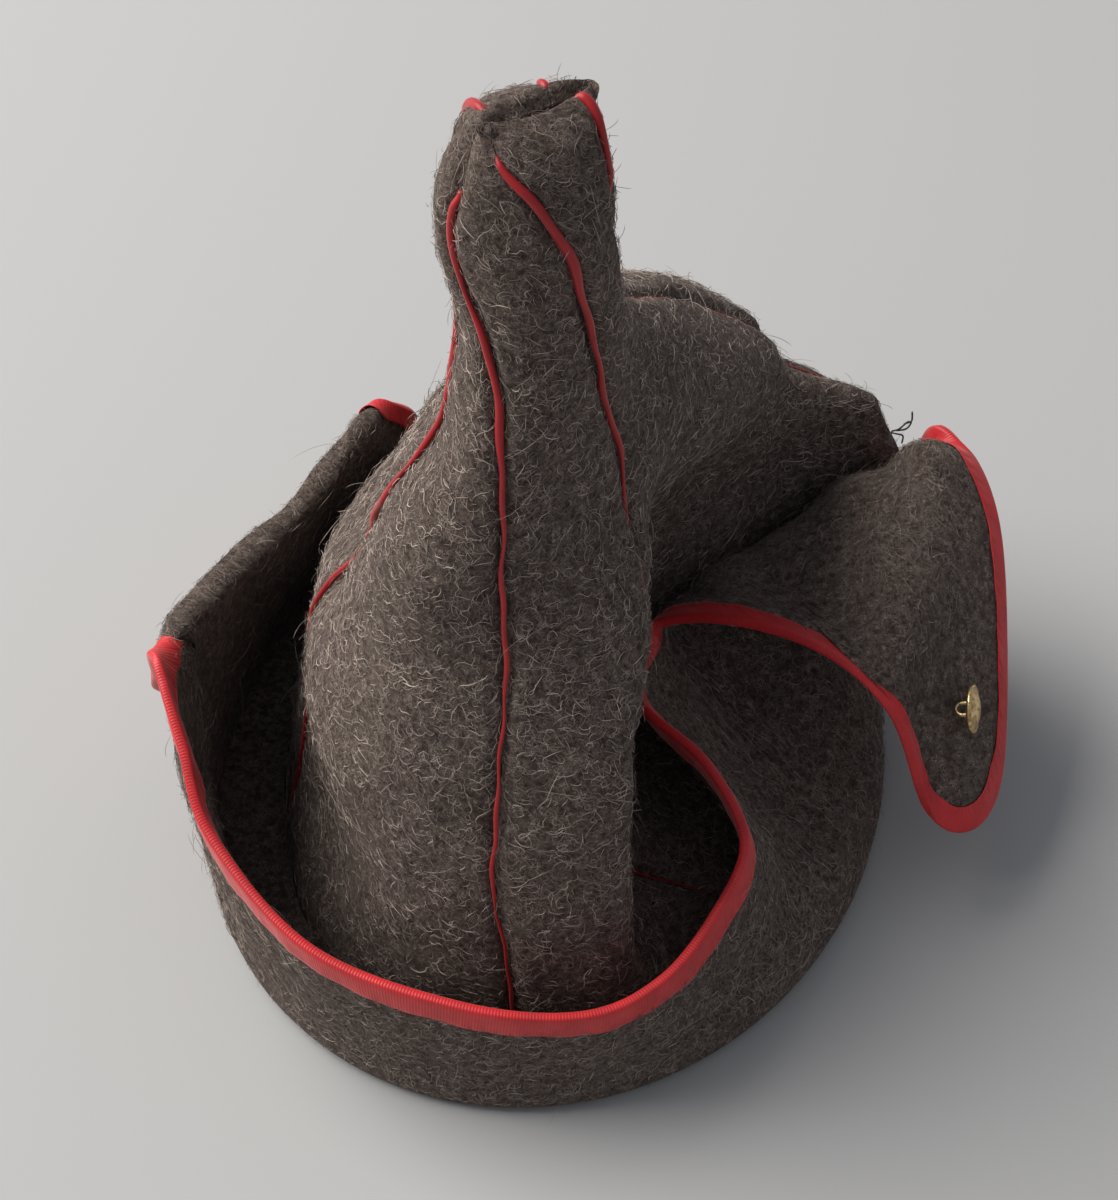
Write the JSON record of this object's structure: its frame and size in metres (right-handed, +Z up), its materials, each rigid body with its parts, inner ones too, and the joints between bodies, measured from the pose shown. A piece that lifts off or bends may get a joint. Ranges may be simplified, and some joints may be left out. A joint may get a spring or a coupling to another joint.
{
  "type": "pointed felt cap with turned-up ear flaps",
  "caption": "Hollow pointed felt cap of piped gores standing on its rim, with a turned-up neck and ear flap bound in ribbon and a brass shank button.",
  "frame": {"origin": "the middle of the cap's box, on the plane that its rim and rolled base rest on", "axes": "+Z up to the knob, +Y to the front of the wearer's head, +X to the wearer's right"},
  "size_m": [0.2253, 0.2111, 0.2561],
  "materials": {
    "grey_brown_felt": "matt wool felt with curly light fibres on its surface",
    "red_ribbon": "woven satin ribbon with a soft sheen",
    "button_brass": "polished, with a little wear"
  },
  "bodies": {
    "root": {"gore_nape": "grey_brown_felt", "gore_right_back": "grey_brown_felt", "gore_right_temple": "grey_brown_felt", "gore_brow": "grey_brown_felt", "gore_left_temple": "grey_brown_felt", "gore_left_back": "grey_brown_felt", "neck_and_ear_flap": "grey_brown_felt", "piping_nape": "red_ribbon", "piping_right_back": "red_ribbon", "piping_right_temple": "red_ribbon", "piping_brow": "red_ribbon", "piping_left_temple": "red_ribbon", "piping_left_back": "red_ribbon", "edge_binding": "red_ribbon", "brass_button": "button_brass"}
  },
  "joints": []
}
